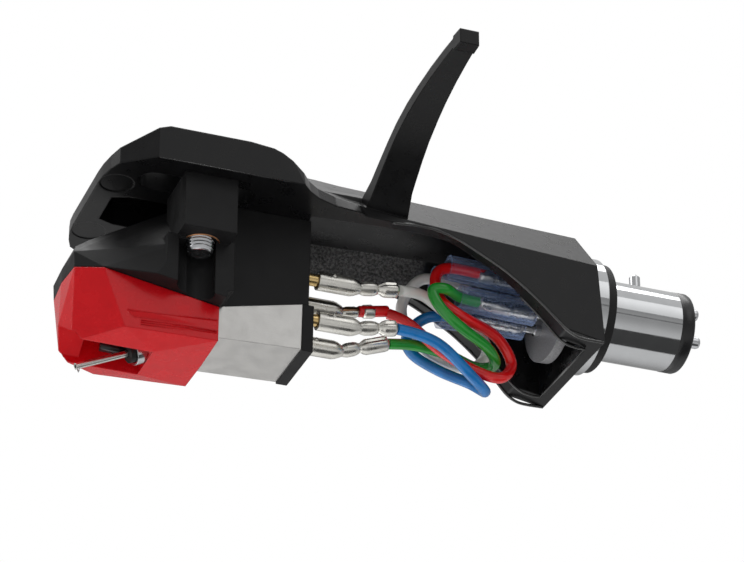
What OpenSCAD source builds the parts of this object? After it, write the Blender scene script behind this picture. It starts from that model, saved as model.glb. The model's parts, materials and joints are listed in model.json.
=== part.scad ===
// Phono cartridge on a bayonet headshell, with its four leads.
// X runs along the connector, the nose points to -X, +Z is up and the finger lift is on -Y.
// The origin is on the connector's axis, in the plane where the rubber gasket seats.
// All lengths are in millimetres.

/* [Connector] */
// outside diameter of the connector's sleeve
sleeve_d = 8; // [7.9:0.05:8.1]
// length of the sleeve behind the seat
sleeve_len = 8.3; // [8:0.1:9]
// diameter of the flange on the sleeve
flange_d = 11.6; // [11:0.1:12]
// diameter of the rubber gasket
gasket_d = 10.8; // [10:0.1:11]
// thickness of the rubber gasket
gasket_t = 1; // [0.8:0.1:1.2]
// distance of the guide pin behind the seat
guide_x = 4.6; // [4:0.1:5]
// diameter of the guide pin
guide_d = 1.1; // [1:0.05:1.2]
// pitch of the square of contact pins
contact_pitch = 3.1; // [3:0.05:3.2]
// diameter of a contact pin
contact_d = 1.2; // [1:0.05:1.3]
// distance from the seat to the tips of the contact pins
contact_tip = 10.6; // [10.2:0.1:11.5]

/* [Headshell] */
// height of the mounting plane above the connector's axis
plane_z = 2.4; // [2.2:0.1:2.6]
// thickness of the nose plate
plate_t = 3.55; // [3.4:0.1:3.8]
// width of the nose plate
plate_w = 21.2; // [20.8:0.1:21.6]
// distance from the seat to the front of the nose plate
nose_reach = 52.3; // [52:0.1:53]
// distance between the two mounting screws
screw_pitch = 12.7; // [12.7:0.1:12.7]
// distance from the seat to the mounting screws
screw_reach = 42.8; // [42:0.1:43.5]
// width of each mounting slot
slot_w = 3; // [2.8:0.1:3.2]
// distance from the headshell's axis to the end of the finger lift
lift_reach = 28.4; // [27:0.1:28.6]
// height of the finger lift's end above the connector's axis
lift_rise = 10.8; // [10:0.1:12]

/* [Cartridge] */
// distance from the seat to the front of the cartridge
cartridge_reach = 54.2; // [53.8:0.1:54.6]
// half of the width across the mounting lugs
lug_y = 9.2; // [9:0.1:9.4]
// half of the width of the cartridge's body
body_y = 4.4; // [4.3:0.05:4.5]
// depth of a mounting lug
lug_h = 5.7; // [5.5:0.1:5.9]
// diameter of the screw's thread
thread_d = 2.6; // [2.5:0.1:2.6]
// length of the cantilever in front of its pivot
tip_s = 6.05; // [5.8:0.05:6.3]
// angle of the cantilever below level
rake = 24.5; // [23:0.5:26]
// thickness of the shield's sheet
shield_t = 0.35; // [0.3:0.05:0.4]

/* [Leads] */
// diameter of a lead over its insulation
lead_d = 1.1; // [1:0.05:1.2]
// diameter of a terminal pin
pin_d = 1.2; // [1.1:0.05:1.3]

/* [Hidden] */
$fn = 48;
eps = 0.01;
run_gap = 0.05;
sleeve_r = sleeve_d / 2;
bore_r = 3.2;
shell_back = -2.5;
bulkhead_t = 1.2;
bulkhead_x = shell_back - bulkhead_t;
disc_x0 = -5.3;
disc_x1 = -4.3;
disc_r = 5.2;
flange_t = -gasket_t - shell_back;
cap_end = 9.25;
cap_round = 0.5;
contact_h = contact_pitch / 2;
post_r = 0.45;
post_x = -9.8;
guide_top = 5.75;
half_w = plate_w / 2;
channel_top = 4.8;
plate_top = plane_z + plate_t;
nose_x = -nose_reach;
slot_x0 = -49;
slot_x1 = -37.8;
screw_x = -screw_reach;
screw_y = screw_pitch / 2;
washer_t = 0.3;
washer_r = 2.7;
head_r = 2.1;
head_h = 1.1;
thread_r = thread_d / 2;
screw_end = -3.7;
lug_x0 = -45.3;
lug_x1 = -40.2;
lug_z = plane_z - lug_h;
insert_r = 1.9;
insert_z0 = lug_z + 0.25;
insert_z1 = plane_z - 0.4;
pad_y = 7;
pad_x0 = -47.1;
pad_x1 = -39.7;
channel_r = 1.7;
channel_x = -43.4;
front_x = -cartridge_reach;
body_x0 = -46.2;
body_x1 = -31.3;
body_low = body_y - 0.9;
body_low_z = -12;
cover_end = -30.8;
shield_x0 = -40.3;
shield_x1 = -31.9;
shield_top0 = -8.2;
shield_top1 = -6.4;
shield_low0 = -11.3;
shield_low1 = -11;
cover_y = 3.9;
cover_low = -11.15;
core_y = 1.7;
core_z = -9.3;
core_r = 0.5;
coil_r = 1.15;
tongue_x = -43.8;
ring_r = 1.25;
tongue_y = 2.6;
tongue_low = -10.3;
pin_y = 2.5;
pin_z_top = -2.8;
pin_z_low = -7.1;
pin_r = pin_d / 2;
pin_end = -28.2;
holder_back = -40.45;
pivot = [-47, 0, -12.3];
lead_r = lead_d / 2;
tube_r = 1.25;
tube_bore = 0.9;
lead_steps = 19;

function seam_z(x) = -8.85 + 0.177 * (-40.35 - x);

module along_x(x0, x1) {
    translate([x0, 0, 0]) rotate([90, 0, 90]) linear_extrude(height = x1 - x0) children();
}
module along_y(y0, y1) {
    translate([0, y1, 0]) rotate([90, 0, 0]) linear_extrude(height = y1 - y0) children();
}
module rod_x(x0, x1, r, y = 0, z = 0) {
    translate([x0, y, z]) rotate([0, 90, 0]) cylinder(h = x1 - x0, r = r);
}
module both() {
    children();
    mirror([0, 1, 0]) children();
}
module block(x0, x1, y0, y1, z0, z1) {
    translate([x0, y0, z0]) cube([x1 - x0, y1 - y0, z1 - z0]);
}

// The neck's cross-section at one place: ridge, top edge of the side wall, lower edge.
function neck_ring(x, ridge, wall, low) = [
    [x, low[0], low[1]], [x, wall[0], wall[1]], [x, ridge[0], ridge[1]],
    [x, -ridge[0], ridge[1]], [x, -wall[0], wall[1]], [x, -low[0], low[1]]];
neck_deep = -6.75;
neck = [
    neck_ring(-37.2, [1.5, 5.9], [half_w, 5.7], [half_w, plane_z]),
    neck_ring(-36.3, [1.5, 6.8], [half_w - 0.05, 5.4], [half_w, plane_z]),
    neck_ring(-35.3, [1.5, 7.8], [half_w - 0.1, 4.8], [half_w, plane_z]),
    neck_ring(-34.1, [1.5, 8.7], [10.2, 3.9], [half_w, plane_z]),
    neck_ring(-33.2, [1.5, 9], [9, 3.9], [9.6, plane_z]),
    neck_ring(-32, [1.5, 8.95], [8.1, 3.8], [8.7, plane_z]),
    neck_ring(-30, [1.5, 8.9], [7.4, 3.7], [7.9, plane_z]),
    neck_ring(-27.4, [1.5, 8.7], [7.05, 3.5], [7.6, plane_z]),
    neck_ring(-22.7, [1.5, 8.55], [6.9, 3.05], [7.45, -3]),
    neck_ring(shell_back, [1.55, 7.85], [6.45, 2.15], [7.45, neck_deep])];
function ring_faces(n, m) = concat(
    [[for (j = [0 : m - 1]) j]],
    [for (i = [0 : n - 2], j = [0 : m - 1]) [i * m + j, (i + 1) * m + j, (i + 1) * m + (j + 1) % m]],
    [for (i = [0 : n - 2], j = [0 : m - 1])
        [i * m + j, (i + 1) * m + (j + 1) % m, i * m + (j + 1) % m]],
    [[for (j = [m - 1 : -1 : 0]) (n - 1) * m + j]]);
function flat_points(rings) = [for (ring = rings) each ring];

// The lower edge of the neck: level under the front, then down around the connector.
neck_cut = [[-60, plane_z - 10], [-60, plane_z], [-24, plane_z], [-21.5, 2.7], [-19.8, 2.7],
    [-18.3, 2.4], [-16.6, 1.75], [-14.6, 0.7], [-12.5, -0.5], [-10.4, -2.1], [-8.6, -3.75],
    [-7.4, -5], [-6.5, -5.95], [-5.6, -6.5], [-4.6, neck_deep], [0, neck_deep], [0, -20], [-60, -20]];

// The channel for the leads under the neck: a level roof between two sloping sides.
channel = [
    neck_ring(-31.5, [3.9, channel_top], [5.3, 2.3], [5.3, -20]),
    neck_ring(-24, [3.4, channel_top], [5.8, 2.3], [5.8, -20]),
    neck_ring(bulkhead_x, [2, channel_top - 0.2], [5.4, 2], [5.4, -20])];

module neck_solid() {
    difference() {
        polyhedron(points = flat_points(neck), faces = ring_faces(len(neck), 6));
        along_y(-12, 12) polygon(neck_cut);
    }
}

module nose_plate() {
    nose_plan = [[-37.2, half_w], [-48.4, half_w], [-51.4, 8.3], [-51.9, 7], [-52.2, 5.6],
        [nose_x, 4.2], [nose_x, -4.2], [-52.2, -5.6], [-51.9, -7], [-51.4, -8.3],
        [-48.4, -half_w], [-37.2, -half_w]];
    nose_side = [[-60, plane_z], [-30, plane_z], [-30, 4.9], [-37.2, plate_top - 0.25],
        [-39.5, plate_top], [-47.3, plate_top], [-48.4, plate_top - 0.4], [-52.4, 3.6], [-60, 3.6]];
    intersection() {
        linear_extrude(height = 20) polygon(nose_plan);
        along_y(-15, 15) polygon(nose_side);
    }
}

// The finger lift's profile in the YZ plane, and its outline seen from above.
lift_low = [[6, 2.9], [8, 4], [10, 5.3], [12, 6.5], [14, lift_rise - 3.3], [16.5, lift_rise - 2.45],
    [19, lift_rise - 1.9], [22, lift_rise - 1.5], [25, lift_rise - 1.3], [26.8, lift_rise - 1.25],
    [26.9, lift_rise - 1.5], [lift_reach, lift_rise - 1.55]];
lift_high = [[lift_reach, lift_rise - 0.05], [26.9, lift_rise], [26.8, lift_rise - 0.25],
    [25, lift_rise - 0.25], [22, lift_rise - 0.4], [19, lift_rise - 0.75], [16.5, lift_rise - 1.2],
    [14, lift_rise - 1.95], [12, 7.95], [10, 6.9], [8, 5.8], [6, 4.9]];

module finger_lift() {
    intersection() {
        along_x(-30, -20) polygon([for (p = concat(lift_low, lift_high)) [-p[0], p[1]]]);
        translate([0, 0, -5]) linear_extrude(height = 30) polygon([[-26.8, -6], [-26.6, -8],
            [-26.25, -16], [-25.7, -lift_reach], [-23.85, -lift_reach], [-23.1, -16], [-22.8, -9],
            [-22.5, -7.4], [-22.2, -6]]);
    }
}

module slot_hole(w) {
    r = w / 2;
    translate([slot_x0 + r, screw_y, 0]) cylinder(h = 20, r = r);
    translate([slot_x1 - r, screw_y, 0]) cylinder(h = 20, r = r);
    block(slot_x0 + r, slot_x1 - r, screw_y - r, screw_y + r, 0, 20);
}

module headshell() {
    color([0.09, 0.09, 0.1]) difference() {
        union() {
            nose_plate();
            neck_solid();
            finger_lift();
            along_x(-33, -26) polygon([[-6, 2.8], [-6, 5], [-4, 6.5], [-4, 2.8]]);
        }
        both() slot_hole(slot_w);
        translate([0, 0, plane_z - 1]) linear_extrude(height = 1 + plate_t - 1) polygon(
            [[-50.3, 2.1], [-50.3, -2.1], [-48.8, -2.7], [-39, -2.7], [-39, 2.7], [-48.8, 2.7]]);
        polyhedron(points = flat_points(channel), faces = ring_faces(len(channel), 6));
        rod_x(disc_x0 - 1, bulkhead_x, disc_r + run_gap);
        rod_x(bulkhead_x - 1, shell_back + 1, sleeve_r);
        both() translate([-50.6, 4.7, plane_z - 1]) cylinder(h = 1.08, r = 1.6);
    }
}

module connector_sleeve() {
    color([0.8, 0.81, 0.83]) difference() {
        union() {
            rod_x(bulkhead_x, sleeve_len, sleeve_r);
            rod_x(shell_back, -gasket_t, flange_d / 2);
        }
        rod_x(bulkhead_x - 1, sleeve_len + 1, bore_r);
        translate([guide_x, 0, 0]) cylinder(h = 10, r = guide_d / 2);
    }
}
module guide_pin() {
    color([0.8, 0.81, 0.83]) translate([guide_x, 0, 0]) rotate_extrude() polygon([[0, bore_r],
        [guide_d / 2, bore_r], [guide_d / 2, guide_top - 0.25], [guide_d / 2 - 0.25, guide_top],
        [0, guide_top]]);
}
module gasket() {
    color([0.13, 0.13, 0.13]) difference() {
        rod_x(-gasket_t, 0, gasket_d / 2);
        rod_x(-gasket_t - 1, 1, sleeve_r);
    }
}
module pin_carrier() {
    color([0.07, 0.07, 0.07]) difference() {
        union() {
            rod_x(disc_x1, sleeve_len + eps, bore_r);
            translate([sleeve_len, 0, 0]) rotate([0, 90, 0]) rotate_extrude() polygon([[0, 0],
                [sleeve_r - run_gap, 0], [sleeve_r - run_gap, cap_end - cap_round - sleeve_len],
                [sleeve_r - run_gap - 0.15, cap_end - 0.15 - sleeve_len],
                [sleeve_r - cap_round, cap_end - sleeve_len], [0, cap_end - sleeve_len]]);
        }
        for (y = [-1, 1], z = [-1, 1])
            rod_x(disc_x1 - 1, cap_end + 1, contact_d / 2, y * contact_h, z * contact_h);
    }
}
module terminal_disc() {
    color([0.75, 0.77, 0.78]) difference() {
        rod_x(disc_x0, disc_x1, disc_r);
        for (y = [-1, 1], z = [-1, 1])
            rod_x(disc_x0 - 1, disc_x1 + 1, contact_d / 2, y * contact_h, z * contact_h);
    }
}
module contact_pin(y, z) {
    tip_round = 0.35;
    r = contact_d / 2;
    color([0.85, 0.83, 0.78]) translate([0, y * contact_h, z * contact_h]) rotate([0, 90, 0])
        rotate_extrude() polygon([[0, post_x], [post_r, post_x], [post_r, disc_x0 - 0.6],
        [r, disc_x0 - 0.6], [r, contact_tip - tip_round], [r - 0.1, contact_tip - 0.12],
        [r - tip_round, contact_tip], [0, contact_tip]]);
}

// An insulating tube over a soldered contact; its free end leans a little.
module tube(y, z, len, lean) {
    translate([-7.2, y * contact_h, z * contact_h]) rotate([0, lean, 0]) rotate([0, -90, 0])
        color([0.35, 0.55, 0.85, 0.6]) difference() {
        cylinder(h = len, r = tube_r);
        translate([0, 0, -1]) cylinder(h = len + 2, r = tube_bore);
    }
}

// A lead: one tube of eight sides swept along a smooth line through chosen points.
function catmull(p, i, t) =
    let (a = p[max(i - 1, 0)], b = p[i], c = p[i + 1], d = p[min(i + 2, len(p) - 1)])
    0.5 * (2 * b + (c - a) * t + (2 * a - 5 * b + 4 * c - d) * t * t
    + (3 * b - a - 3 * c + d) * t * t * t);
function route(p) = [for (k = [0 : lead_steps])
    let (u = k / lead_steps * (len(p) - 1), i = min(floor(u), len(p) - 2)) catmull(p, i, u - i)];
function unit(v) = v / norm(v);
function tangent(q, k) = unit(q[min(k + 1, len(q) - 1)] - q[max(k - 1, 0)]);
function frames(q, k, n) = k >= len(q) ? [] :
    let (t = tangent(q, k), m = unit(n - (n * t) * t))
    concat([[q[k], m, cross(t, m)]], frames(q, k + 1, m));
module lead(p, tint) {
    q = route(p);
    rings = [for (f = frames(q, 0, [0, 0.3, 1]))
        [for (j = [0 : 7]) f[0] + lead_r * (cos(j * 45) * f[1] + sin(j * 45) * f[2])]];
    color(tint) polyhedron(points = flat_points(rings), faces = ring_faces(len(rings), 8));
}
red_route = [[-20.85, 2.5, -2.1], [-19, 1.9, -3.1], [-15.8, 1.3, -5.9], [-12.3, 1.1, -7.5],
    [-9.9, 0.6, -8], [-8.7, 0.9, -6], [-10.8, -0.2, -4], [-15.1, -2, -3.5], [-17.2, -1.8, -1.9],
    [-17.5, -1.7, 0.6], [-15.7, -1.55, 1.84], [-10.2, -1.55, 1.62]];
green_route = [[-20.9, 2.5, -5.4], [-18.1, 2.8, -4.9], [-14.7, 3, -5.1], [-11.6, 2.9, -6.1],
    [-10.2, 1.4, -6.2], [-11.9, -0.7, -5.7], [-15, -2.2, -5], [-17.5, -2.9, -3.6],
    [-18.4, -3, -1.9], [-17.2, -3.3, -1.6], [-14.6, -1.55, -1.3], [-10.2, -1.55, -1.48]];
blue_route = [[-21.9, -2.4, -6.4], [-19.2, -1.8, -6.3], [-16.6, -1, -6.7], [-13.6, -0.1, -8.5],
    [-11, 2.1, -9], [-12, 3.7, -7.5], [-15, 4.2, -6.4], [-17.6, 4.5, -4.9],
    [-18.5, 3.6, -3.6], [-17.4, 2.4, -2.2], [-15.4, 1.55, -1.83], [-10.2, 1.55, -1.62]];
white_route = [[-21.5, -2.25, -2.1], [-18.5, -0.6, -1.2], [-15.9, -0.3, -2.5], [-12.9, 0.2, -3.4],
    [-10.4, 2.8, -4.1], [-11.4, 4.4, -5.4], [-14.8, 4.4, -5], [-17.7, 4.5, -2.9],
    [-18.9, 4, -0.3], [-17.9, 2.4, 1.9], [-15.8, 1.55, 2.14], [-10.2, 1.55, 1.7]];

// A spring clip on a terminal pin: a slit barrel, a neck and two crimps.
module clip(y, z, x0, end) {
    barrel = 4.2;
    lean = atan2(end[2] - z, end[0] - x0 - barrel);
    turn = atan2(end[1] - y, end[0] - x0 - barrel);
    reach = norm([end[0] - x0 - barrel, end[1] - y, end[2] - z]);
    color([0.78, 0.78, 0.76]) difference() {
        union() {
            rod_x(x0, x0 + barrel, 0.9, y, z);
            translate([x0 + barrel, y, z]) rotate([0, 0, turn]) rotate([0, -lean, 0]) {
                rod_x(-0.3, reach * 0.75, 0.55);
                rod_x(0.5, 2.4, 0.76);
                rod_x(2.8, reach, 0.8);
            }
        }
        rod_x(x0 - 1, x0 + barrel - 0.6, pin_r + run_gap, y, z);
        block(x0 - 1, x0 + barrel - 0.6, y - 0.15, y + 0.15, z, z + 3);
    }
}
module terminal_pin(y, z) {
    color([0.85, 0.66, 0.3]) translate([0, y, z]) rotate([0, 90, 0]) rotate_extrude() polygon([
        [0, shield_x1 - 1], [pin_r, shield_x1 - 1], [pin_r, pin_end - 0.3],
        [pin_r - 0.25, pin_end], [0, pin_end]]);
}

module screw() {
    z1 = plate_top + washer_t;
    color([0.75, 0.76, 0.78]) translate([screw_x, screw_y, 0]) difference() {
        rotate_extrude() polygon([[0, screw_end], [thread_r - 0.3, screw_end],
            [thread_r, screw_end + 0.3], [thread_r, z1], [head_r, z1], [head_r, z1 + 0.5],
            [head_r - 0.2, z1 + 0.85], [head_r - 0.6, z1 + head_h], [0, z1 + head_h]]);
        block(-0.3, 0.3, -4, 4, z1 + 0.5, z1 + 4);
    }
}
module washer() {
    color([0.75, 0.76, 0.78]) translate([screw_x, screw_y, plate_top]) difference() {
        cylinder(h = washer_t, r = washer_r);
        translate([0, 0, -1]) cylinder(h = washer_t + 2, r = thread_r + 0.1);
    }
}
module insert() {
    color([0.78, 0.6, 0.3]) translate([screw_x, screw_y, 0]) difference() {
        translate([0, 0, insert_z0]) cylinder(h = insert_z1 - insert_z0, r = insert_r);
        translate([0, 0, insert_z0 - 1]) cylinder(h = 12, r = thread_r + eps);
    }
}

// The shield's cross-section: it carries on the body's sides, which lean in towards the underside.
module shield_section(inset) {
    along_x(-48, -31) polygon([[-body_y + inset, plane_z], [body_y - inset, plane_z],
        [body_low - inset, body_low_z], [-body_low + inset, body_low_z]]);
}
module body_prow() {
    rear = body_x0 + 1.4;
    hull() {
        both() polyhedron(points = [[front_x, 0, -4.9], [front_x + 0.55, 2.35, -3.7],
            [front_x + 0.15, 3.5, -4.9], [front_x + 1.8, 2.4, -2.8],
            [rear - 0.4, 2.4, 1.5], [rear, 2.4, 1.7], [rear, 0, 1.7],
            [front_x, 0, seam_z(front_x)], [front_x + 0.25, 3.5, seam_z(front_x + 0.25)],
            [front_x + 2.6, 5.1, seam_z(front_x + 2.6)],
            [-47.07, 7, seam_z(-47.07)], [rear, 7, seam_z(rear)], [rear, 7, -4],
            [rear, 0, seam_z(rear)]],
            faces = [[0, 1, 2], [1, 3, 2], [0, 3, 1], [0, 6, 3], [6, 5, 3], [5, 4, 3], [0, 2, 8, 7],
            [2, 3, 9, 8], [3, 4, 10, 9], [4, 5, 12], [4, 12, 10], [12, 11, 10],
            [13, 11, 12, 5, 6], [7, 8, 9, 10, 11, 13], [0, 7, 13, 6]]);
    }
}
module cartridge_body() {
    color([0.08, 0.08, 0.08]) difference() {
        union() {
            body_prow();
            along_x(body_x0 + 2, body_x1) polygon([[-body_y, plane_z], [body_y, plane_z],
                [body_low, body_low_z], [-body_low, body_low_z]]);
            both() block(lug_x0, lug_x1, body_y - 1, lug_y, lug_z, plane_z);
            both() block(body_x0, pad_x1, body_y - 1, pad_y, -10, lug_z + 0.2);
        }
        along_y(-12, 12) polygon([[-60, seam_z(-60)], [holder_back + 0.1, seam_z(holder_back + 0.1)],
            [shield_x0, shield_top0], [shield_x1, shield_top1], [-30, shield_top1], [-30, -20],
            [-60, -20]]);
        both() translate([screw_x, screw_y, insert_z0]) cylinder(h = 20, r = insert_r);
        both() translate([screw_x, screw_y, -20]) cylinder(h = 30, r = thread_r + 0.1);
        both() translate([channel_x, pad_y, -20]) cylinder(h = 20 + lug_z - 0.2, r = channel_r);
        block(-39.6, body_x1 + 1, -3.4, 3.4, -12, -1.2);
        for (y = [-1, 1]) rod_x(tongue_x - 1, -39, core_r, y * core_y, core_z);
    }
    color([0.08, 0.08, 0.08]) difference() {
        block(tongue_x, -39.5, -tongue_y, tongue_y, tongue_low, seam_z(-40.3) + 0.6);
        for (y = [-1, 1]) rod_x(tongue_x - 1, -39, core_r, y * core_y, core_z);
    }
}
module shield_can() {
    t = shield_t;
    color([0.72, 0.72, 0.7]) difference() {
        intersection() {
            along_y(-6, 6) polygon([[shield_x0, shield_top0], [shield_x0, shield_low0],
                [shield_x1, shield_low1], [shield_x1, shield_top1]]);
            shield_section(0);
        }
        intersection() {
            translate([0, 0, t]) along_y(-6, 6) polygon([[shield_x0 - 2, 0], [shield_x0 - 2,
                shield_low0 - 0.1], [shield_x1 + 2, shield_low1 + 0.1], [shield_x1 + 2, 0]]);
            shield_section(t);
        }
    }
}
module rear_cover() {
    color([0.07, 0.07, 0.07]) difference() {
        union() {
            along_x(shield_x1, cover_end) polygon([[-cover_y, shield_top1], [cover_y, shield_top1],
                [body_low + 0.15, cover_low], [-body_low - 0.15, cover_low]]);
            block(shield_x1, body_x1, -3.4, 3.4, shield_top1 - 1, -1.2);
        }
        for (y = [-1, 1], z = [pin_z_top, pin_z_low])
            rod_x(shield_x1 - 1, cover_end + 1, pin_r, y * pin_y, z);
    }
}
module coil(y) {
    color([0.72, 0.4, 0.2]) difference() {
        rod_x(-39, -34.2, coil_r, y * core_y, core_z);
        rod_x(-40, -33, core_r, y * core_y, core_z);
    }
}
module core(y) {
    color([0.6, 0.6, 0.6]) rod_x(tongue_x, -33.6, core_r, y * core_y, core_z);
}

// A shallow wedge for the fingertip in the holder's side, with three fine ribs left below it.
module grip_groove() {
    depth = 0.28;
    y0 = 5.15 - depth;
    intersection() {
        translate([0, y0, 0]) rotate([90, 0, 0]) translate([0, 0, -2]) linear_extrude(height = 2)
            polygon([[-49.2, -10.75], [-48.6, -11.5], [-40, -11], [-40, -10.3]]);
        along_x(-52, -38) polygon([[y0, -11.6], [y0 + 2, -11.6], [y0 + 2, -9.9], [y0 + 0.35, -9.9]]);
    }
    for (i = [0 : 2]) translate([0, 5.05 - 0.1, 0]) rotate([90, 0, 0]) translate([0, 0, -2])
        linear_extrude(height = 2) polygon([[-47.9, -11.62 - i * 0.22], [-41.6, -11.3 - i * 0.22],
        [-41.6, -11.4 - i * 0.22], [-47.9, -11.72 - i * 0.22]]);
}
module stylus_holder() {
    color([0.85, 0.12, 0.14]) difference() {
        hull() {
            both() polyhedron(points = [[front_x, 0, seam_z(front_x)],
                [front_x + 0.25, 3.5, seam_z(front_x + 0.25)],
                [front_x + 2.6, 5.1, seam_z(front_x + 2.6)], [holder_back, 5, seam_z(holder_back)],
                [holder_back, 0, seam_z(holder_back)], [front_x - 0.1, 0, -10.9],
                [front_x + 0.6, 2.2, -12.3], [front_x + 1.6, 2.5, -13.2], [-49.4, 5.05, -12.6], [holder_back, 4.9, -12.35],
                [holder_back, 0, -12.5], [-45.9, 2.4, -13.3],
                [front_x + 1.6, 0, -13.2]],
                faces = [[0, 1, 2, 3, 4], [0, 5, 6, 1], [1, 6, 7, 8, 2], [2, 8, 9, 3],
                [3, 9, 10, 4], [7, 11, 9, 8], [7, 12, 10, 11], [9, 11, 10], [5, 12, 7, 6],
                [0, 4, 10, 12, 5]]);
        }
        translate([0, 0, -run_gap]) along_y(-12, 12) polygon([[-60, seam_z(-60)],
            [-30, seam_z(-30)], [-30, 5], [-60, 5]]);
        along_x(-57, -45.9) polygon([[0, -10.9], [2.35, -12.5], [2.35, -15], [-2.35, -15],
            [-2.35, -12.5]]);
        block(-51.6, -45.9, -2.35, 2.35, -14, -9.6);
        block(-46, -44, -1.7, 1.7, -12.4, -9.6);
        at_pivot() translate([0, 0, -3]) cylinder(h = 3.3, r = ring_r + run_gap);
        block(tongue_x - 0.3, holder_back + 1, -tongue_y - 0.15, tongue_y + 0.15, tongue_low - 0.15, -5);
        both() grip_groove();
    }
}
module at_pivot() {
    translate(pivot) rotate([0, -90 - rake, 0]) children();
}
module suspension_ring() {
    color([0.75, 0.75, 0.76]) at_pivot() difference() {
        translate([0, 0, -1]) cylinder(h = 1.2, r = ring_r);
        translate([0, 0, -2]) cylinder(h = 3, r = 1);
    }
}
module damper() {
    color([0.05, 0.05, 0.05]) at_pivot() difference() {
        translate([0, 0, -0.7]) cylinder(h = 1.4, r = 0.93);
        translate([0, 0, -2]) cylinder(h = 4, r = 0.36);
    }
}
module cantilever() {
    color([0.8, 0.78, 0.74]) at_pivot() difference() {
        translate([0, 0, -1.2]) cylinder(h = tip_s + 1.2, r = 0.31);
        translate([0, 0, tip_s - 1]) cylinder(h = 2, r = 0.2);
    }
}
module magnet(y) {
    color([0.4, 0.4, 0.42]) at_pivot() translate([0, y * 0.62, -2.7]) cylinder(h = 1.6, r = 0.3);
}
module stylus_tip() {
    s = tip_s - 0.35;
    foot = pivot + [-s * cos(rake), 0, -s * sin(rake)];
    color([0.75, 0.78, 0.8]) translate(foot) rotate_extrude() polygon([[0, -0.75], [0.12, -0.5],
        [0.12, -0.25], [0, -0.25]]);
}

headshell();
connector_sleeve();
guide_pin();
gasket();
pin_carrier();
terminal_disc();
contact_pin(-1, 1);  // contact_pin_1
contact_pin(-1, -1);  // contact_pin_2
contact_pin(1, 1);  // contact_pin_3
contact_pin(1, -1);  // contact_pin_4
tube(-1, 1, 9, 2);  // tube_red
tube(-1, -1, 7.9, 2);  // tube_green
tube(1, 1, 9.4, 4);  // tube_white
tube(1, -1, 8.8, -2);  // tube_blue
lead(red_route, [0.8, 0.1, 0.1]);  // lead_red
lead(green_route, [0.1, 0.55, 0.25]);  // lead_green
lead(white_route, [0.9, 0.9, 0.88]);  // lead_white
lead(blue_route, [0.1, 0.4, 0.75]);  // lead_blue
clip(pin_y, pin_z_top, -30, [-21.3, 2.5, -1.9]);  // clip_red
clip(pin_y, pin_z_low, -30, [-21.1, 2.5, -5.4]);  // clip_green
clip(-pin_y, pin_z_top, -30, [-21.9, -2.4, -2.2]);  // clip_white
clip(-pin_y, pin_z_low, -30, [-22.1, -2.4, -6.4]);  // clip_blue
mirror([0, 1, 0]) screw();  // screw_near
screw();  // screw_far
mirror([0, 1, 0]) washer();  // washer_near
washer();  // washer_far
cartridge_body();
mirror([0, 1, 0]) insert();  // insert_near
insert();  // insert_far
shield_can();
rear_cover();
terminal_pin(pin_y, pin_z_top);  // pin_red
terminal_pin(pin_y, pin_z_low);  // pin_green
terminal_pin(-pin_y, pin_z_top);  // pin_white
terminal_pin(-pin_y, pin_z_low);  // pin_blue
coil(-1);  // coil_near
coil(1);  // coil_far
core(-1);  // core_near
core(1);  // core_far
stylus_holder();
suspension_ring();
damper();
cantilever();
magnet(-1);  // magnet_near
magnet(1);  // magnet_far
stylus_tip();
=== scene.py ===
import json
import math

import bmesh
import bpy
from mathutils import Matrix, Vector


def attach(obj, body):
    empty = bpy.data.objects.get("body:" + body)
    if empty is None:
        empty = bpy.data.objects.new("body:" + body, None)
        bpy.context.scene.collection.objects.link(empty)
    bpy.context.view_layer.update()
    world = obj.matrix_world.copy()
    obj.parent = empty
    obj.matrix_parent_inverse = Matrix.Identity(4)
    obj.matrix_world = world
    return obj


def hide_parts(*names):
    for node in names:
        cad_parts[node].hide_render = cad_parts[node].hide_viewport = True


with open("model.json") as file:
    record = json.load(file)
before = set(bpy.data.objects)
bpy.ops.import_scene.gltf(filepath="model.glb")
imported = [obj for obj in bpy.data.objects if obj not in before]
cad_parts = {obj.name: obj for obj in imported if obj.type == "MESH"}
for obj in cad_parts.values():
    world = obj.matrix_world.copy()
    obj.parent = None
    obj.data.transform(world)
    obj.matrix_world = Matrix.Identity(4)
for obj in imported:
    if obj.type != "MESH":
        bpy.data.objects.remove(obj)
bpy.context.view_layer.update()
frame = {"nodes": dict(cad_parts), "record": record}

MM = 0.001
BODY = "headshell"


def linked(name, data):
    """A new object in the scene."""
    o = bpy.data.objects.new(name, data)
    bpy.context.scene.collection.objects.link(o)
    return o


# ---------------------------------------------------------------- materials

def noise(tree, coord, scale, detail=3.0, stretch=None, rough=0.5):
    """A noise texture on the object's own coordinates, which may be stretched along an axis."""
    n = tree.nodes.new("ShaderNodeTexNoise")
    n.inputs["Scale"].default_value = scale
    n.inputs["Detail"].default_value = detail
    n.inputs["Roughness"].default_value = rough
    if stretch:
        m = tree.nodes.new("ShaderNodeMapping")
        m.inputs["Scale"].default_value = stretch
        tree.links.new(coord, m.inputs["Vector"])
        coord = m.outputs["Vector"]
    tree.links.new(coord, n.inputs["Vector"])
    return n.outputs["Fac"]


def ranged(tree, fac, low, high, start=0.3, end=0.7):
    """Maps a factor from start..end to low..high."""
    m = tree.nodes.new("ShaderNodeMapRange")
    m.inputs["From Min"].default_value = start
    m.inputs["From Max"].default_value = end
    m.inputs["To Min"].default_value = low
    m.inputs["To Max"].default_value = high
    tree.links.new(fac, m.inputs["Value"])
    return m.outputs["Result"]


def product(tree, a, b):
    """Two factors multiplied."""
    m = tree.nodes.new("ShaderNodeMath")
    m.operation = "MULTIPLY"
    tree.links.new(a, m.inputs[0])
    tree.links.new(b, m.inputs[1])
    return m.outputs[0]


MIX_A, MIX_B, MIX_OUT = 6, 7, 2  # the colour sockets of a Mix node


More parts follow.
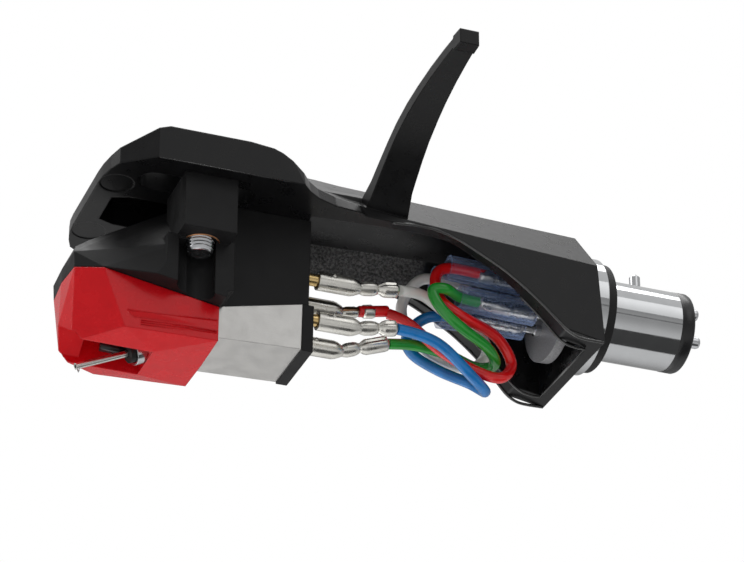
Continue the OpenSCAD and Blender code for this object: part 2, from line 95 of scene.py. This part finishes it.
def blend(tree, fac, low, high):
    """A colour between two, each given as a colour or as a socket."""
    m = tree.nodes.new("ShaderNodeMix")
    m.data_type = "RGBA"
    tree.links.new(fac, m.inputs[0])
    for index, value in ((MIX_A, low), (MIX_B, high)):
        if isinstance(value, bpy.types.NodeSocket):
            tree.links.new(value, m.inputs[index])
        else:
            m.inputs[index].default_value = (*value, 1)
    return m.outputs[MIX_OUT]


def material(name, colour, rough, metal=0.0, tint=0.12, wear=0.15, grain=(9000, 0.02), stretch=None,
             specular=0.5, coat=0.0, coat_rough=0.1, transmission=0.0, ior=1.5, alpha=1.0,
             bump_size=0.00002, blotch=700, edge=0.1):
    """A Principled material whose colour, roughness and fine relief vary over the surface.

    tint and wear are how far colour and roughness vary, grain is the relief's scale and strength,
    blotch the scale of the broad variation, and edge the radius in mm that edges are shaded round with.
    """
    m = bpy.data.materials.new(name)
    m.use_nodes = True
    t = m.node_tree
    p = t.nodes["Principled BSDF"]
    coord = t.nodes.new("ShaderNodeTexCoord").outputs["Object"]
    broad = noise(t, coord, blotch, 4.0)
    fine = noise(t, coord, grain[0], 2.0, stretch)
    dark = [c * (1 - tint) for c in colour]
    light = [min(1, c * (1 + tint)) for c in colour]
    t.links.new(blend(t, ranged(t, broad, 0, 1), dark, light), p.inputs["Base Color"])
    t.links.new(ranged(t, broad, rough * (1 - wear), min(1, rough * (1 + wear))), p.inputs["Roughness"])
    b = t.nodes.new("ShaderNodeBump")
    b.inputs["Strength"].default_value = grain[1]
    b.inputs["Distance"].default_value = bump_size
    t.links.new(fine, b.inputs["Height"])
    rounded = t.nodes.new("ShaderNodeBevel")
    rounded.samples = 6
    rounded.inputs["Radius"].default_value = edge * MM
    t.links.new(rounded.outputs["Normal"], b.inputs["Normal"])
    t.links.new(b.outputs["Normal"], p.inputs["Normal"])
    p.inputs["Metallic"].default_value = metal
    p.inputs["Specular IOR Level"].default_value = specular
    p.inputs["Coat Weight"].default_value = coat
    p.inputs["Coat Roughness"].default_value = coat_rough
    p.inputs["Transmission Weight"].default_value = transmission
    p.inputs["IOR"].default_value = ior
    p.inputs["Alpha"].default_value = alpha
    return m


def lacquer():
    """The headshell's black lacquer, with the coarse cast grain of the vault under the neck, which is painted
    lighter there as painted light.
    """
    m = material("black_lacquer", (0.0075, 0.0075, 0.008), 0.3, grain=(5200, 0.12), specular=0.22, edge=0.2)
    t = m.node_tree
    p = t.nodes["Principled BSDF"]
    coord = t.nodes.new("ShaderNodeTexCoord").outputs["Object"]
    place = t.nodes.new("ShaderNodeSeparateXYZ")
    t.links.new(coord, place.inputs[0])
    facing = t.nodes.new("ShaderNodeSeparateXYZ")
    t.links.new(t.nodes.new("ShaderNodeNewGeometry").outputs["Normal"], facing.inputs[0])

    def window(socket, a, b, soft):
        """1 between two places in mm and 0 outside them, with soft ends."""
        rise = ranged(t, socket, 0, 1, (a - soft) * MM, a * MM)
        fall = ranged(t, socket, 1, 0, b * MM, (b + soft) * MM)
        return product(t, rise, fall)

    # The grain is on the faces of the vault that look down at a slant, neither upright nor level; there the
    # colour is also painted a lighter grey, painted light for the light that falls on these faces.
    across = window(place.outputs[1], -4.9, 5.9, 0.1)
    along = window(place.outputs[0], -31.5, -17, 0.5)
    below = ranged(t, facing.outputs[2], 1, 0, -0.2, 0.0)
    slanting = ranged(t, facing.outputs[2], 0, 1, -0.97, -0.9)
    grain_and_painted_light_mask = product(t, product(t, across, along), product(t, below, slanting))

    coarse = noise(t, coord, 4200, 3.0, rough=0.7)
    # Painted light: the lighter speckled grey stands for light falling on the slanting faces; the relief below
    # is the real cast grain.
    painted_light_speckle = blend(t, ranged(t, coarse, 0, 1, 0.4, 0.65), (0.03, 0.03, 0.03), (0.16, 0.16, 0.16))
    plain = p.inputs["Base Color"].links[0].from_socket
    t.links.new(blend(t, grain_and_painted_light_mask, plain, painted_light_speckle), p.inputs["Base Color"])
    b = t.nodes.new("ShaderNodeBump")
    b.inputs["Distance"].default_value = 0.1 * MM
    t.links.new(ranged(t, grain_and_painted_light_mask, 0.0, 0.9, 0, 1), b.inputs["Strength"])
    t.links.new(coarse, b.inputs["Height"])
    t.links.new(p.inputs["Normal"].links[0].from_socket, b.inputs["Normal"])
    t.links.new(b.outputs["Normal"], p.inputs["Normal"])
    return m


M = {
    "black_lacquer": lacquer(),
    "chrome": material("chrome", (0.62, 0.63, 0.64), 0.07, 1.0, 0.03, 0.5, (60000, 0.05), (1, 0.02, 0.02)),
    "black_rubber": material("black_rubber", (0.014, 0.014, 0.014), 0.6, grain=(9000, 0.25), specular=0.35),
    "black_plastic": material("black_plastic", (0.014, 0.014, 0.015), 0.3, grain=(7000, 0.1)),
    "black_resin": material("black_resin", (0.014, 0.014, 0.0145), 0.5, grain=(8000, 0.15), specular=0.2,
                            edge=0.16),
    "clear_plastic": material("clear_plastic", (0.36, 0.36, 0.37), 0.4, 0, 0.35, grain=(9000, 0.6),
                              transmission=0.2, ior=1.49, blotch=7000),
    "gold": material("gold", (0.86, 0.62, 0.28), 0.2, 1.0, 0.08, grain=(30000, 0.1), stretch=(1, 0.05, 0.05)),
    "blue_tube": material("blue_tube", (0.42, 0.58, 1.0), 0.06, 0, 0.08, grain=(1500, 0.05), specular=1.0,
                          alpha=0.11, edge=0.04),
    "red_insulation": material("red_insulation", (0.85, 0.008, 0.01), 0.2, grain=(3000, 0.15), coat=0.5),
    "green_insulation": material("green_insulation", (0.015, 0.32, 0.03), 0.2, grain=(3000, 0.15), coat=0.5),
    "white_insulation": material("white_insulation", (0.85, 0.85, 0.82), 0.22, 0, 0.05, grain=(3000, 0.15),
                                 coat=0.5),
    "blue_insulation": material("blue_insulation", (0.003, 0.2, 0.58), 0.2, grain=(3000, 0.15), coat=0.5),
    "clip_metal": material("clip_metal", (0.9, 0.88, 0.82), 0.28, 1.0, 0.08, 0.4, (24000, 0.25),
                           (1, 0.05, 0.05)),
    "steel": material("steel", (0.72, 0.73, 0.75), 0.2, 1.0, 0.06, 0.4, (20000, 0.2)),
    "brass": material("brass", (0.8, 0.5, 0.26), 0.25, 1.0, 0.1, grain=(16000, 0.2)),
    "shield_metal": material("shield_metal", (0.66, 0.65, 0.63), 0.36, 1.0, 0.05, 0.2, (26000, 0.3),
                             (0.03, 1, 1)),
    "copper": material("copper", (0.75, 0.36, 0.18), 0.3, 1.0, 0.1, grain=(60000, 0.5),
                       stretch=(1, 0.02, 0.02)),
    "red_plastic": material("red_plastic", (0.74, 0.006, 0.012), 0.26, 0, 0.05, grain=(3500, 0.1), specular=0.3,
                            edge=0.16),
    "aluminium_tube": material("aluminium_tube", (0.8, 0.78, 0.74), 0.25, 1.0, 0.06, grain=(30000, 0.2)),
    "diamond": material("diamond", (0.85, 0.87, 0.9), 0.05, transmission=0.9, ior=2.2),

    # Only on pieces of the scene.
    "red_strands": material("red_strands", (0.6, 0.3, 0.16), 0.35, 1.0, 0.3, grain=(9000, 1.0)),
    "rim_lacquer": material("rim_lacquer", (0.02, 0.02, 0.02), 0.16, grain=(5200, 0.1), specular=0.8, coat=0.5),
    "solder": material("solder", (0.8, 0.8, 0.8), 0.28, 1.0, 0.1, 0.5, (2500, 0.7), bump_size=0.00008),
}

# The tubes show their walls at their edges and are nearly clear between them.
tube = M["blue_tube"].node_tree
rim = tube.nodes.new("ShaderNodeLayerWeight")
rim.inputs["Blend"].default_value = 0.4
tube.links.new(ranged(tube, rim.outputs["Facing"], 0.05, 0.75, 0.1, 1.0),
               tube.nodes["Principled BSDF"].inputs["Alpha"])


# ---------------------------------------------------------------- CAD nodes

def shading_group(limit):
    """A modifier that shades a mesh smooth, with creases where it turns by more than the limit."""
    g = bpy.data.node_groups.new("shading", "GeometryNodeTree")
    g.interface.new_socket("Geometry", in_out="INPUT", socket_type="NodeSocketGeometry")
    g.interface.new_socket("Geometry", in_out="OUTPUT", socket_type="NodeSocketGeometry")
    start = g.nodes.new("NodeGroupInput")
    end = g.nodes.new("NodeGroupOutput")
    faces = g.nodes.new("GeometryNodeSetShadeSmooth")
    faces.domain = "FACE"
    creases = g.nodes.new("GeometryNodeSetShadeSmooth")
    creases.domain = "EDGE"
    turn = g.nodes.new("GeometryNodeInputMeshEdgeAngle")
    small = g.nodes.new("FunctionNodeCompare")
    small.data_type = "FLOAT"
    small.operation = "LESS_THAN"
    small.inputs[1].default_value = math.radians(limit)
    g.links.new(turn.outputs[0], small.inputs[0])
    g.links.new(small.outputs[0], creases.inputs["Shade Smooth"])
    g.links.new(start.outputs[0], faces.inputs[0])
    g.links.new(faces.outputs[0], creases.inputs[0])
    g.links.new(creases.outputs[0], end.inputs[0])
    return g


SHADING = shading_group(8.5)
CRISP = shading_group(2)
CRISP_NODES = ("cartridge_body", "stylus_holder", "shield_can")


def facets(o, group):
    """Merges a CAD node's seams and shades it, without touching its own mesh."""
    w = o.modifiers.new("weld", "WELD")
    w.merge_threshold = 0.002 * MM
    d = o.modifiers.new("flats", "DECIMATE")
    d.decimate_type = "DISSOLVE"
    d.angle_limit = math.radians(0.6)
    n = o.modifiers.new("shading", "NODES")
    n.node_group = group


slots = {s["node"]: s["material_slot"] for s in frame["record"]["subparts"]}
for name, o in frame["nodes"].items():
    o.data.materials.clear()
    o.data.materials.append(M[slots[name]])
    for poly in o.data.polygons:
        poly.use_smooth = True
    facets(o, CRISP if name in CRISP_NODES else SHADING)


# ---------------------------------------------------------------- helpers for new pieces

def piece(name, mesh, slot, body=BODY, mat=None):
    """A new mesh piece that rides on a CAD body."""
    o = linked(name, mesh)
    mesh.materials.append(M[mat or slot])
    for poly in mesh.polygons:
        poly.use_smooth = True
    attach(o, body)
    return o


def basis(a, b):
    """A matrix whose Z axis runs from a to b."""
    z = (Vector(b) - Vector(a)).normalized()
    x = z.orthogonal().normalized()
    return Matrix.Translation(Vector(a)) @ Matrix((x, z.cross(x), z)).transposed().to_4x4()


def turns(sides):
    """The angles of a ring's corners."""
    return [2 * math.pi * i / sides for i in range(sides)]


def join(bm, a, b):
    """The quads between two rings."""
    for i in range(len(a)):
        j = (i + 1) % len(a)
        bm.faces.new((a[i], a[j], b[j], b[i]))


def cap(bm, rings):
    """The faces that close the first and the last ring."""
    bm.faces.new(list(reversed(rings[0])))
    bm.faces.new(rings[-1])


def lathe(bm, profile, place, sides=32, wobble=None):
    """A turned form: profile is a list of (radius, height) in mm, placed by a matrix in mm."""
    rings = []
    for r, h in profile:
        ring = []
        for a in turns(sides):
            rr = r * (1 + wobble(a, h)) if wobble else r
            ring.append(bm.verts.new((place @ Vector((rr * math.cos(a), rr * math.sin(a), h))) * MM))
        rings.append(ring)
    for a, b in zip(rings, rings[1:]):
        join(bm, a, b)
    cap(bm, rings)


def sheet(bm, profile, place, start, end, thick=0.13, steps=28):
    """A rolled sheet: the profile turned from one angle to the other, with a wall of its own."""
    rings = []
    for r, h in profile:
        ring = []
        for wall in (r, r - thick):
            ring.append([bm.verts.new((place @ Vector((wall * math.cos(a), wall * math.sin(a), h))) * MM)
                         for a in (start + (end - start) * i / steps for i in range(steps + 1))])
        rings.append(ring)
    for a, b in zip(rings, rings[1:]):
        for i in range(steps):
            bm.faces.new((a[0][i], a[0][i + 1], b[0][i + 1], b[0][i]))
            bm.faces.new((a[1][i], b[1][i], b[1][i + 1], a[1][i + 1]))
        for i in (0, steps):
            bm.faces.new((a[0][i], b[0][i], b[1][i], a[1][i]))
    for ring in (rings[0], rings[-1]):
        for i in range(steps):
            bm.faces.new((ring[0][i], ring[0][i + 1], ring[1][i + 1], ring[1][i]))


def sweep(bm, path, radius, sides=16, closed=False):
    """A tube along points in mm."""
    pts = [Vector(p) for p in path]
    n = len(pts)
    normal = None
    rings = []
    for k, p in enumerate(pts):
        a = pts[k - 1] if closed else pts[max(k - 1, 0)]
        b = pts[(k + 1) % n] if closed else pts[min(k + 1, n - 1)]
        t = (b - a).normalized()
        normal = t.orthogonal().normalized() if normal is None else (normal - t * normal.dot(t)).normalized()
        side = t.cross(normal)
        rings.append([bm.verts.new((p + radius * (math.cos(a) * normal + math.sin(a) * side)) * MM)
                      for a in turns(sides)])
    for a, b in zip(rings, rings[1:]):
        join(bm, a, b)
    if closed:
        join(bm, rings[-1], rings[0])
    else:
        cap(bm, rings)


def finish_mesh(bm, name):
    """The mesh of a BMesh, with its normals facing out."""
    bmesh.ops.recalc_face_normals(bm, faces=bm.faces)
    mesh = bpy.data.meshes.new(name)
    bm.to_mesh(mesh)
    bm.free()
    return mesh


def catmull(points, per=10):
    """Points along a smooth line through the given points."""
    p = [Vector(q) for q in points]
    out = []
    for i in range(len(p) - 1):
        a, b, c, d = p[max(i - 1, 0)], p[i], p[i + 1], p[min(i + 2, len(p) - 1)]
        for k in range(per):
            t = k / per
            out.append(0.5 * (2 * b + (c - a) * t + (2 * a - 5 * b + 4 * c - d) * t * t
                              + (3 * b - a - 3 * c + d) * t * t * t))
    out.append(p[-1])
    return out


# ---------------------------------------------------------------- leads

LEAD_R = 0.55
ROUTES = {
    "red": [(-20.85, 2.5, -2.1), (-19, 1.9, -3.1), (-15.8, 1.3, -5.9), (-12.3, 1.1, -7.5), (-9.9, 0.6, -8),
            (-8.7, 0.9, -6), (-10.8, -0.2, -4), (-15.1, -2, -3.5), (-17.2, -1.8, -1.9), (-17.5, -1.7, 0.6),
            (-15.7, -1.55, 1.84), (-10.2, -1.55, 1.62)],
    "green": [(-20.9, 2.5, -5.4), (-18.1, 2.8, -4.9), (-14.7, 3, -5.1), (-11.6, 2.9, -6.1), (-10.2, 1.4, -6.2),
            (-11.9, -0.7, -5.7), (-15, -2.2, -5), (-17.5, -2.9, -3.6), (-18.4, -3, -1.9), (-17.2, -3.3, -1.6),
            (-14.6, -1.55, -1.3), (-10.2, -1.55, -1.48)],
    "blue": [(-21.9, -2.4, -6.4), (-19.2, -1.8, -6.3), (-16.6, -1, -6.7), (-13.6, -0.1, -8.5), (-11, 2.1, -9),
            (-12, 3.7, -7.5), (-15, 4.2, -6.4), (-17.6, 4.5, -4.9), (-18.5, 3.6, -3.6), (-17.4, 2.4, -2.2),
            (-15.4, 1.55, -1.83), (-10.2, 1.55, -1.62)],
    "white": [(-21.5, -2.25, -2.1), (-18.5, -0.6, -1.2), (-15.9, -0.3, -2.5), (-12.9, 0.2, -3.4),
            (-10.4, 2.8, -4.1), (-11.4, 4.4, -5.4), (-14.8, 4.4, -5), (-17.7, 4.5, -2.9), (-18.9, 4, -0.3),
            (-17.9, 2.4, 1.9), (-15.8, 1.55, 2.14), (-10.2, 1.55, 1.7)],
}
for colour, route in ROUTES.items():
    line = catmull(route)
    curve = bpy.data.curves.new("insulation_" + colour, "CURVE")
    curve.dimensions = "3D"
    curve.bevel_depth = LEAD_R * MM
    curve.bevel_resolution = 5
    curve.use_fill_caps = True
    spline = curve.splines.new("POLY")
    spline.points.add(len(line) - 1)
    for q, v in zip(spline.points, line):
        q.co = (*(v * MM), 1)
    spline.use_smooth = True
    o = linked("insulation_" + colour, curve)
    curve.materials.append(M[colour + "_insulation"])
    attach(o, BODY)
    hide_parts("lead_" + colour)

# Solder joints inside the insulating tubes, round the posts of the four contacts.
POST = 1.55
for colour, (y, z) in {"red": (-POST, POST), "green": (-POST, -POST), "white": (POST, POST),
                       "blue": (POST, -POST)}.items():
    bm = bmesh.new()
    seed = y * 3 + z
    lathe(bm, [(0.57, -13), (0.63, -12.7), (0.68, -12), (0.62, -11.3), (0.7, -10.6), (0.66, -9.9), (0.6, -9.4),
               (0.7, -8.9), (0.62, -8.4), (0.7, -8), (0.66, -7.6), (0.56, -7.25), (0.5, -7.05)],
          Matrix.Translation((0, y, z)) @ Matrix.Rotation(math.radians(90), 4, "Y"), 24,
          lambda a, h, s=seed: 0.1 * math.sin(2 * a + 5 * h + s) + 0.06 * math.sin(5 * a - 7 * h))
    piece("solder_" + colour, finish_mesh(bm, "solder_" + colour), "steel", mat="solder")


# ---------------------------------------------------------------- clips

# Each clip's pin in Y and Z, and where its crimp ends.
CLIPS = {
    "red": (2.5, -2.8, (-21.3, 2.5, -1.9)), "green": (2.5, -7.1, (-21.1, 2.5, -5.4)),
    "white": (-2.5, -2.8, (-21.9, -2.4, -2.2)), "blue": (-2.5, -7.1, (-22.1, -2.4, -6.4)),
}
CLIP_START, CRIMP_START = -30, -25.8
RED_SEAM = (0, -0.75, 0.66)
BARREL = [(0.9, 0), (0.92, 0.08), (0.92, 3.35), (0.84, 3.7), (0.66, 4.1), (0.56, 4.3)]


def local_angle(place, direction):
    """The angle of a direction in a lathe's own frame."""
    d = place.to_3x3().inverted() @ Vector(direction)
    return math.atan2(d.y, d.x)


def notched(at, depth, width, lobes=0.0):
    """A wobble with one rolled seam, and two lobes where a crimp is pressed."""
    def wobble(a, h):
        d = (a - at + math.pi) % (2 * math.pi) - math.pi
        return lobes * math.cos(2 * (a - at)) - depth * math.exp(-(d / width) ** 2)
    return wobble


for colour, (y, z, end) in CLIPS.items():
    place = Matrix.Translation((CLIP_START, y, z)) @ Matrix.Rotation(math.radians(90), 4, "Y")
    lean = basis((CRIMP_START, y, z), end)
    reach = (Vector(end) - Vector((CRIMP_START, y, z))).length
    bm = bmesh.new()
    if colour == "red":
        seam = local_angle(place, RED_SEAM)
        sheet(bm, BARREL, place, seam + 0.55, seam + 2 * math.pi - 0.55)
        seam = local_angle(lean, RED_SEAM)
        sheet(bm, [(0.5, -0.1), (0.52, 0.5), (0.6, 0.7), (0.6, 1.6), (0.5, 1.8)], lean,
              seam + 1, seam + 5.3, 0.1)
        sheet(bm, [(0.6, 2.3), (0.7, 2.5), (0.72, 3.3), (0.66, 3.45)], lean, seam + 0.8, seam + 5.5, 0.1)
        strands = bmesh.new()
        lathe(strands, [(0.3, -0.4), (0.4, 0.1), (0.44, 0.8), (0.4, 1.4), (0.46, 2)], lean, 24,
              lambda a, h: 0.12 * math.sin(6 * a + 14 * h))
        piece("strands_red", finish_mesh(strands, "strands_red"), "clip_metal", mat="red_strands")
        jacket = bmesh.new()
        lathe(jacket, [(0.5, 1.85), (0.56, 1.95), (0.56, reach + 0.3), (0.5, reach + 0.4)], lean, 24)
        piece("jacket_red", finish_mesh(jacket, "jacket_red"), "red_insulation")
    else:
        seam = local_angle(place, (0, -0.2, 1) if colour == "green" else (0, -0.9, -0.45))
        lathe(bm, [(0.62, 1.3), (0.66, 0.04), (0.76, 0)] + BARREL + [(0.5, 4.4)], place, 40,
              notched(seam, 0.1, 0.1))
        seam = local_angle(lean, (0, -0.8, 0.6))
        lathe(bm, [(0.44, -0.2), (0.52, 0.1), (0.62, 0.4), (0.67, 0.7), (0.66, 1.4), (0.58, 1.75),
                   (0.48, 1.95)], lean, 40, notched(seam, 0.22, 0.2, 0.1))
        lathe(bm, [(0.46, 1.9), (0.5, 2.2), (0.68, 2.45), (0.78, 2.75), (0.78, reach - 0.25), (0.74, reach),
                   (0.6, reach + 0.06)], lean, 40, notched(seam + 0.25, 0.3, 0.22, 0.05))
        for h, turn in ((1.5, 0.5), (2.6, -0.9)):
            dimple = place @ Matrix.Translation((0, 0, h)) @ Matrix.Rotation(local_angle(
                place, (0, -0.5, 0.87)) + turn, 4, "Z") @ Matrix.Rotation(math.radians(90), 4, "Y")
            lathe(bm, [(0.2, 0.85), (0.17, 0.97), (0.12, 1.0), (0.1, 0.94)], dimple, 14)
    clip = piece("clip_sheet_" + colour, finish_mesh(bm, "clip_sheet_" + colour), "clip_metal")
    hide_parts("clip_" + colour)


# ---------------------------------------------------------------- rims, cap and screw ends

# The neck's lower edge in X and Z, and its side wall at three places in X: how far out and how high its
# upper edge lies, then its lower edge.
CUT = [(-24, 2.35), (-21.5, 2.65), (-19.8, 2.65), (-18.3, 2.35), (-16.6, 1.7), (-14.6, 0.65), (-12.5, -0.55),
       (-10.4, -2.15), (-8.6, -3.8), (-7.4, -5.05), (-6.5, -6), (-5.6, -6.55), (-4.6, -6.75), (-2.6, -6.75)]
WALLS = [(-27.4, 7.05, 3.5, 7.6, 2.4), (-22.7, 6.9, 3.05, 7.45, -3), (-2.5, 6.45, 2.15, 7.45, -6.75)]


def wall_y(x, z):
    """How far out the neck's side wall stands at a place in X and Z."""
    for a, b in zip(WALLS, WALLS[1:]):
        if x <= b[0]:
            break
    s = (x - a[0]) / (b[0] - a[0])
    y0, z0, y1, z1 = (p + (q - p) * s for p, q in zip(a[1:], b[1:]))
    return y0 + (y1 - y0) * (z0 - z) / (z0 - z1)


# Beads along both edges of the neck's wall, and a fine line along the plate's edges.
PLATE_EDGE_Y, PLATE_EDGE_Z = 10.56, 2.44
bm = bmesh.new()
for side in (-1, 1):
    sweep(bm, catmull([(x, side * (wall_y(x, z) - 0.14), z + 0.02) for x, z in CUT], 4), 0.15, 10)
    sweep(bm, catmull([(x, side * 5.42, z + 0.02) for x, z in CUT if -12 < x < -4], 4)
          + [Vector((-3.75, side * 5.4, -6.72))], 0.13, 10)
sweep(bm, [(-3.75, -5.4, -6.72), (-3.72, 0, -6.72), (-3.75, 5.4, -6.72)], 0.13, 10)
for side in (-1, 1):
    sweep(bm, [(x, side * PLATE_EDGE_Y, PLATE_EDGE_Z) for x in (-48.3, -43, -35.6)], 0.05, 8)
piece("neck_rim", finish_mesh(bm, "neck_rim"), "black_lacquer", mat="rim_lacquer")

# The black cap over the sleeve's end.
bm = bmesh.new()
lathe(bm, [(3.9, 7.68), (4.03, 7.75), (4.04, 8.9), (3.95, 9.1), (3.6, 9.28), (3.1, 9.32)],
      Matrix.Rotation(math.radians(90), 4, "Y"), 64)
piece("contact_cap", finish_mesh(bm, "contact_cap"), "black_plastic")

# The screws' threaded ends, and the copper lips of the inserts that they come out of.
CORE_R, CREST_R, PITCH = 1.12, 1.28, 0.36
LIP_SIDES = 32
for side, name in ((-1, "near"), (1, "far")):
    bm = bmesh.new()
    thread = [(CORE_R, -2.6)]
    for k in range(5):
        z = -2.75 - PITCH * k
        thread += [(CORE_R, z), (CREST_R, z - 0.14), (CREST_R, z - 0.2), (CORE_R, z - 0.34)]
    thread += [(CORE_R, -4.62), (0.95, -4.72), (0.8, -4.68)]
    lathe(bm, thread, Matrix.Translation((-43, side * 6.7, 0)), 40)
    piece("thread_" + name, finish_mesh(bm, "thread_" + name), "steel")
    bm = bmesh.new()
    sweep(bm, [(-42.8 + 1.68 * math.cos(a), side * 6.35 + 1.68 * math.sin(a), -3.3) for a in turns(LIP_SIDES)],
          0.09, 8, closed=True)
    piece("insert_lip_" + name, finish_mesh(bm, "insert_lip_" + name), "brass", mat="copper")

# Fine ridges round the grip on both sides of the stylus holder.
bm = bmesh.new()
for side in (-1, 1):
    for line in ([(-49.25, -10.87), (-44.97, -10.62), (-40.6, -10.31)], [(-49.25, -10.87), (-48.69, -11.65)],
                 [(-48.69, -11.65), (-44.65, -11.53), (-40.6, -11.42)], [(-48.5, -11.92), (-40.6, -11.6)]):
        sweep(bm, [(x, side * (5.03 + 0.045 * (z + 10.9)), z) for x, z in line], 0.05, 8)
piece("grip_ridges", finish_mesh(bm, "grip_ridges"), "red_plastic", body="stylus")

# The thin skin over the front end of the pocket under the nose.
bm = bmesh.new()
SKIN_SIDE = [(-50.55, 4.3), (-49.2, 4.3), (-49.2, 5.155), (-50.55, 4.497)]
ends = [[bm.verts.new(Vector((x, y, z)) * MM) for x, z in SKIN_SIDE] for y in (-2.5, 2.5)]
join(bm, *ends)
cap(bm, ends)
piece("nose_skin", finish_mesh(bm, "nose_skin"), "black_lacquer")

# The end of the magnets' carrier behind the damper.
bm = bmesh.new()
sweep(bm, [(-50.1, 0.5, -11.95), (-49, 0.5, -12.0), (-47.4, 0.4, -12.1)], 0.55, 4)
piece("stylus_stop", finish_mesh(bm, "stylus_stop"), "black_plastic", body="stylus")


# ---------------------------------------------------------------- camera, lights, stage

# Solved from the photograph: the direction, the place, and the focal length in pixels.
IMAGE_WIDTH, FOCAL_PIXELS, SENSOR = 744, 3174, 36
CAMERA_PLACE = (-0.11876, -0.24994, -0.14857)
AZ, EL, ROLL = math.radians(-20.867), math.radians(-29.007), math.radians(-0.178)
back = Vector((math.sin(AZ) * math.cos(EL), -math.cos(AZ) * math.cos(EL), math.sin(EL)))
right = Vector((math.cos(AZ), math.sin(AZ), 0))
up = back.cross(right)
c, s = math.cos(ROLL), math.sin(ROLL)
right, up = c * right + s * up, -s * right + c * up
cam = bpy.data.cameras.new("camera")
cam.sensor_width = SENSOR
cam.lens = FOCAL_PIXELS / IMAGE_WIDTH * SENSOR
cam.clip_start = 0.01
camera = linked("camera", cam)
camera.matrix_world = Matrix.Translation(CAMERA_PLACE) @ Matrix((right, up, back)).transposed().to_4x4()
bpy.context.scene.camera = camera
bpy.context.scene.view_settings.view_transform = "Standard"


def softbox(name, where, target, size, watts):
    """A square area light that the camera doesn't see."""
    light = bpy.data.lights.new(name, "AREA")
    light.shape = "RECTANGLE"
    light.size = light.size_y = size
    light.energy = watts
    o = linked(name, light)
    o.location = where
    o.rotation_euler = (Vector(target) - Vector(where)).to_track_quat("-Z", "Y").to_euler()
    o.visible_camera = False


MID = (-0.025, 0, 0)
softbox("top_light", (-0.05, 0.05, 0.5), MID, 0.5, 2.4)
softbox("near_light", (0.15, -0.5, 0.3), MID, 0.35, 0.22)
softbox("front_light", (-0.5, 0.1, 0.15), MID, 0.3, 0.5)
softbox("low_light", (-0.1, 0.2, -0.24), MID, 0.25, 0.2)

# The camera and see-through pieces see white, reflections a graded room, and the rest a dimmer fill.
world = bpy.data.worlds.new("studio")
world.use_nodes = True
bpy.context.scene.world = world
wt = world.node_tree
seen = wt.nodes["Background"]
seen.inputs["Color"].default_value = (1, 1, 1, 1)
seen.inputs["Strength"].default_value = 1.0
fill = wt.nodes.new("ShaderNodeBackground")
fill.inputs["Color"].default_value = (1, 1, 1, 1)
fill.inputs["Strength"].default_value = 0.42
room = wt.nodes.new("ShaderNodeBackground")
room.inputs["Strength"].default_value = 0.7

# The room's grey from straight below to straight above.
ROOM = [(0.0, 0.25), (0.44, 0.55), (0.485, 0.5), (0.5, 0.08), (0.515, 0.55), (0.65, 0.4), (0.8, 0.85),
        (1.0, 1.0)]
direction = wt.nodes.new("ShaderNodeSeparateXYZ")
wt.links.new(wt.nodes.new("ShaderNodeTexCoord").outputs["Generated"], direction.inputs[0])
ramp = wt.nodes.new("ShaderNodeValToRGB")
wt.links.new(ranged(wt, direction.outputs[2], 0, 1, -1, 1), ramp.inputs[0])
stops = ramp.color_ramp.elements
for k, (at, value) in enumerate(ROOM):
    stop = stops[k] if k < 2 else stops.new(at)
    stop.position = at
    stop.color = (value, value, value, 1)
wt.links.new(ramp.outputs[0], room.inputs["Color"])


def choose(factor, under, over):
    """One shader, or the other one where the factor is 1."""
    mix = wt.nodes.new("ShaderNodeMixShader")
    for k, socket in enumerate((factor, under, over)):
        wt.links.new(socket, mix.inputs[k])
    return mix.outputs[0]


path = wt.nodes.new("ShaderNodeLightPath")
white = wt.nodes.new("ShaderNodeMath")
white.operation = "MAXIMUM"
wt.links.new(path.outputs["Is Camera Ray"], white.inputs[0])
wt.links.new(path.outputs["Is Transmission Ray"], white.inputs[1])
unseen = choose(path.outputs["Is Glossy Ray"], fill.outputs[0], room.outputs[0])
surroundings = choose(white.outputs[0], unseen, seen.outputs[0])
wt.links.new(surroundings, wt.nodes["World Output"].inputs["Surface"])


def stage_sheet(name, corners, mat):
    """A flat sheet of the stage."""
    bm = bmesh.new()
    bm.faces.new([bm.verts.new(v) for v in corners])
    o = linked(name, finish_mesh(bm, name))
    o.data.materials.append(mat)
    return o


# A dark card below and beside the connector, which only reflections see.
CARD_Z = -0.2
card = stage_sheet("dark_card", [(-0.05, -0.2, CARD_Z), (0.4, -0.2, CARD_Z), (0.4, 0.01, CARD_Z),
                                 (-0.05, 0.01, CARD_Z)],
                   material("card", (0.05, 0.05, 0.05), 0.9, tint=0.02, blotch=3))
card.visible_camera = card.visible_diffuse = card.visible_shadow = card.visible_transmission = False

FLOOR_Z, FLOOR_HALF = -0.26, 3
floor = stage_sheet("floor", [(x * FLOOR_HALF, y * FLOOR_HALF, FLOOR_Z)
                              for x, y in ((-1, -1), (1, -1), (1, 1), (-1, 1))],
                    material("floor", (0.82, 0.82, 0.82), 0.7, tint=0.02, grain=(40, 0.02), blotch=3))
